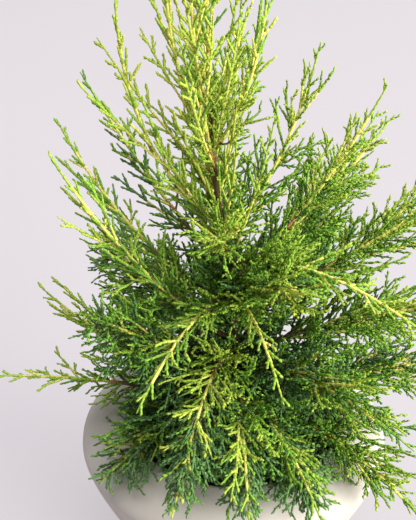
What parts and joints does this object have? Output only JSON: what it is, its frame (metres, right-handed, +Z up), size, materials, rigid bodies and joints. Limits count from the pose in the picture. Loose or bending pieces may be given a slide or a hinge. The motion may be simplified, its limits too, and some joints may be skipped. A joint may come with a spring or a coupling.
{
  "type": "potted juniper",
  "caption": "Young golden spreading juniper with feathery arching shoots in a round-shouldered pale bowl planter.",
  "frame": {"origin": "centre of the planter's flat underside, where it stands", "axes": "+Z up along the planter's axis, -Y towards the picture's viewpoint, +X to its right"},
  "size_m": [0.3631, 0.2915, 0.5112],
  "materials": {
    "pot_clay": "smooth matte off-white unglazed",
    "compost": "dark crumbly bark compost",
    "bark": "flaking red-brown bark",
    "young_bark": "smooth orange-brown young bark",
    "green_foliage": "satin green scale leaves",
    "golden_foliage": "satin lime and golden scale leaves"
  },
  "bodies": {
    "root": {"bough_back_left": "young_bark", "bough_back_low": "young_bark", "bough_back_right": "young_bark", "bough_front_centre": "young_bark", "bough_front_drape": "young_bark", "bough_front_hang": "young_bark", "bough_front_left": "young_bark", "bough_front_right": "young_bark", "bough_left_back": "young_bark", "bough_left_front": "young_bark", "bough_left_high": "young_bark", "bough_left_low": "young_bark", "bough_left_mid": "young_bark", "bough_left_rise": "young_bark", "bough_right_arch": "young_bark", "bough_right_back": "young_bark", "bough_right_front": "young_bark", "bough_right_hang": "young_bark", "bough_right_high": "young_bark", "bough_right_low": "young_bark", "bough_right_mid": "young_bark", "bough_right_upper": "young_bark", "foliage_back_high": "golden_foliage", "foliage_back_left": "green_foliage", "foliage_back_low": "green_foliage", "foliage_back_right": "green_foliage", "foliage_front_arch": "green_foliage", "foliage_front_centre": "green_foliage", "foliage_front_drape": "golden_foliage", "foliage_front_hang": "green_foliage", "foliage_front_left": "green_foliage", "foliage_front_right": "green_foliage", "foliage_front_upper": "golden_foliage", "foliage_leader": "golden_foliage", "foliage_left_back": "golden_foliage", "foliage_left_front": "green_foliage", "foliage_left_high": "green_foliage", "foliage_left_low": "green_foliage", "foliage_left_mid": "green_foliage", "foliage_left_rise": "green_foliage", "foliage_left_top": "golden_foliage", "foliage_right_arch": "golden_foliage", "foliage_right_back": "green_foliage", "foliage_right_front": "green_foliage", "foliage_right_hang": "green_foliage", "foliage_right_high": "golden_foliage", "foliage_right_inner": "golden_foliage", "foliage_right_low": "green_foliage", "foliage_right_mid": "green_foliage", "foliage_right_top": "golden_foliage", "foliage_right_upper": "green_foliage", "foliage_top_back": "golden_foliage", "foliage_top_front": "golden_foliage", "foliage_top_left": "golden_foliage", "foliage_top_right": "golden_foliage", "pot": "pot_clay", "soil": "compost", "trunk": "bark"}
  },
  "joints": []
}
